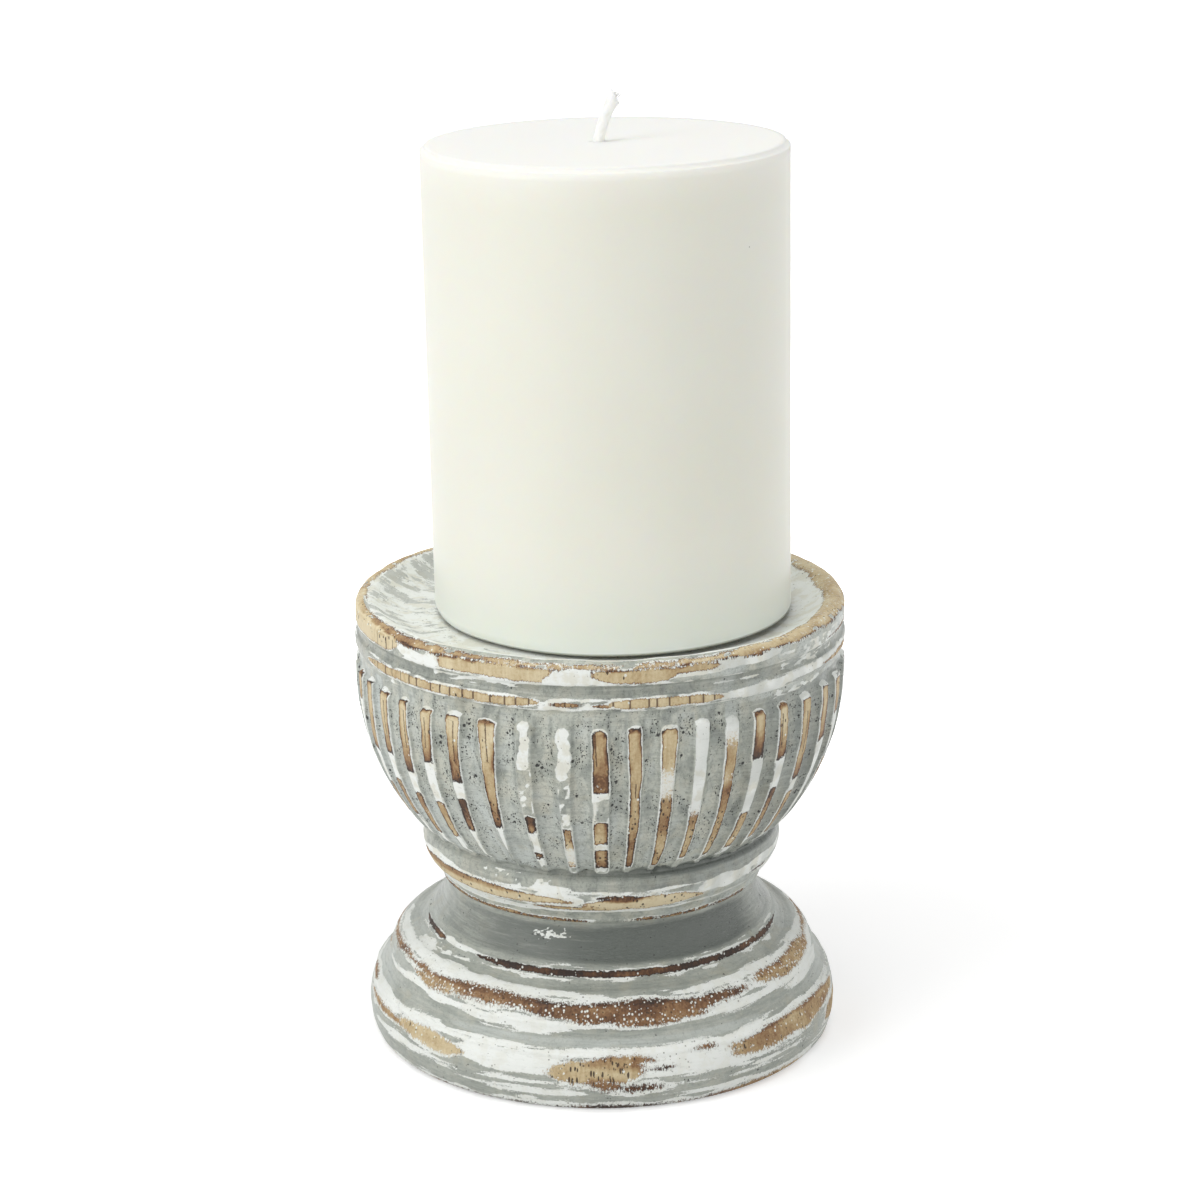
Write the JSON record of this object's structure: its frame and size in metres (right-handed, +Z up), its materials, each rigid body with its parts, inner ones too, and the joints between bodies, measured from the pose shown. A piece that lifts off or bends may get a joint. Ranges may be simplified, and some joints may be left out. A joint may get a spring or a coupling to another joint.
{
  "type": "candlestick",
  "caption": "Turned wooden pillar candlestick with a moulded foot, a fluted bowl, an iron pricket in a shallow dish, and a pillar candle that lifts off.",
  "frame": {"origin": "on the holder's axis, at the table", "axes": "+Z up along the holder's axis, -Y towards the viewer of the front, +X to the right"},
  "size_m": [0.1062, 0.1062, 0.2068],
  "materials": {
    "foot_paint": "grey over white paint, sanded back to tan wood",
    "bowl_paint": "grey over white paint, sanded back to tan wood",
    "cork": "fine agglomerated cork",
    "screw_steel": "zinc plated",
    "washer_steel": "zinc plated",
    "pricket_iron": "black iron, matt",
    "wax": "ivory candle wax, satin",
    "wick_cotton": "white braided cotton"
  },
  "bodies": {
    "holder": {"base": "foot_paint", "cork_pad": "cork", "bowl": "bowl_paint", "joint_screw": "screw_steel", "joint_washer": "washer_steel", "pricket": "pricket_iron"},
    "candle": {"candle": "wax", "wick": "wick_cotton"}
  },
  "joints": [
    {"name": "candle_lift", "type": "slide", "parent": "holder", "child": "candle", "axis": [0, 0, 1], "range_m": [0, 0.12]}
  ]
}
